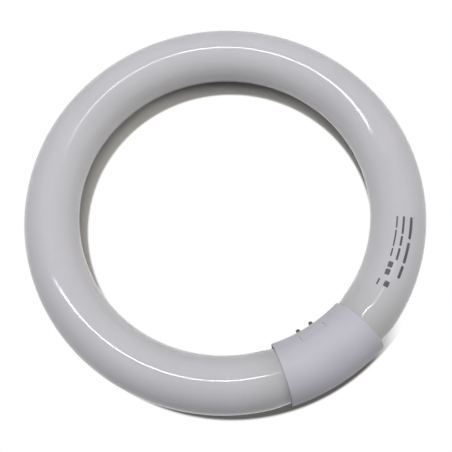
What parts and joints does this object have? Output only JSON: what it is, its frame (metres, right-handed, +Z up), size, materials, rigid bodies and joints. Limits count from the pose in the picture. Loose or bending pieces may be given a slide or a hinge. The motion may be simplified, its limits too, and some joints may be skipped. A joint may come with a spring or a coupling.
{
  "type": "circular fluorescent tube",
  "caption": "Ring-shaped fluorescent lamp tube of coated glass, its two ends joined by a moulded plastic cap with slanted contact pins.",
  "frame": {"origin": "middle of the lamp's footprint, on the surface it lies on", "axes": "+Z up through the flat ring, cap on the -Y side, pins pointing to the ring's middle and down at 47.5 degrees"},
  "size_m": [0.216, 0.2174, 0.0356],
  "materials": {
    "coated_glass": "white powder coat behind clear glossy glass",
    "cap_plastic": "smooth moulded white plastic with a faint lilac tint",
    "pin_brass": "dull brass with darkened tips",
    "wire_metal": "bare wire"
  },
  "bodies": {
    "root": {"glass_tube": "coated_glass", "cap_pin_side_shell": "cap_plastic", "cap_back_shell": "cap_plastic", "contact_pin_1": "pin_brass", "contact_pin_2": "pin_brass", "contact_pin_3": "pin_brass", "contact_pin_4": "pin_brass", "lead_wire_1": "wire_metal", "lead_wire_2": "wire_metal", "lead_wire_3": "wire_metal", "lead_wire_4": "wire_metal"}
  },
  "joints": []
}
